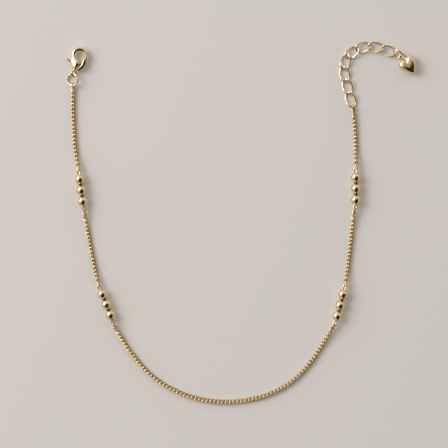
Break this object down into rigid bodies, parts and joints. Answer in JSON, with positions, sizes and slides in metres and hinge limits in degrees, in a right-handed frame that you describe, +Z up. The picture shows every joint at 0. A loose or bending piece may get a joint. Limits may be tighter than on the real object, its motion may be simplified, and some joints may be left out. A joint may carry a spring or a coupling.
{
  "type": "charm anklet",
  "caption": "Fine gold curb chain anklet, laid open, with stations of small polished beads, a lobster clasp, a link extender and a puffed heart charm.",
  "frame": {"origin": "centre of the footprint, on the surface that the anklet lies on", "axes": "+Z up from the surface, through the flat anklet; +Y from the closed front of the U towards its two ends; +X from the clasp's side to the extender's side"},
  "size_m": [0.1049, 0.1088, 0.003],
  "materials": {
    "chain_gold": "gold-plated brass, bright rolled wire",
    "bead_gold": "gold-plated brass, polished to a mirror",
    "ring_gold": "gold-plated brass, bright drawn wire",
    "clasp_gold": "gold-plated brass, cast and tumbled bright",
    "heart_gold": "gold-plated brass, stamped in two halves and polished"
  },
  "bodies": {
    "anklet": {"clasp_body": "clasp_gold", "clasp_rivet": "clasp_gold", "clasp_ring": "ring_gold", "chain_clasp_side": "chain_gold", "station_wire_1": "chain_gold", "bead_01": "bead_gold", "bead_02": "bead_gold", "bead_03": "bead_gold", "chain_left": "chain_gold", "station_wire_2": "chain_gold", "bead_04": "bead_gold", "bead_05": "bead_gold", "bead_06": "bead_gold", "chain_front": "chain_gold", "station_wire_3": "chain_gold", "bead_07": "bead_gold", "bead_08": "bead_gold", "bead_09": "bead_gold", "chain_right": "chain_gold", "station_wire_4": "chain_gold", "bead_10": "bead_gold", "bead_11": "bead_gold", "bead_12": "bead_gold", "chain_extender_side": "chain_gold", "extender_link_1": "ring_gold", "extender_link_2": "ring_gold", "extender_link_3": "ring_gold", "extender_link_4": "ring_gold", "extender_link_5": "ring_gold", "extender_link_6": "ring_gold", "extender_link_7": "ring_gold", "extender_link_8": "ring_gold", "heart_ring": "ring_gold", "heart": "heart_gold"},
    "clasp_lever": {"clasp_lever": "clasp_gold"}
  },
  "joints": [
    {"name": "lever_pivot", "type": "hinge", "parent": "anklet", "child": "clasp_lever", "pos_m": [-0.04937, 0.04728, 0.0013], "axis": [0, 0, 1], "range_deg": [0, 25], "stiffness_Nm_per_rad": 0.002, "springref_deg": -17.19}
  ]
}
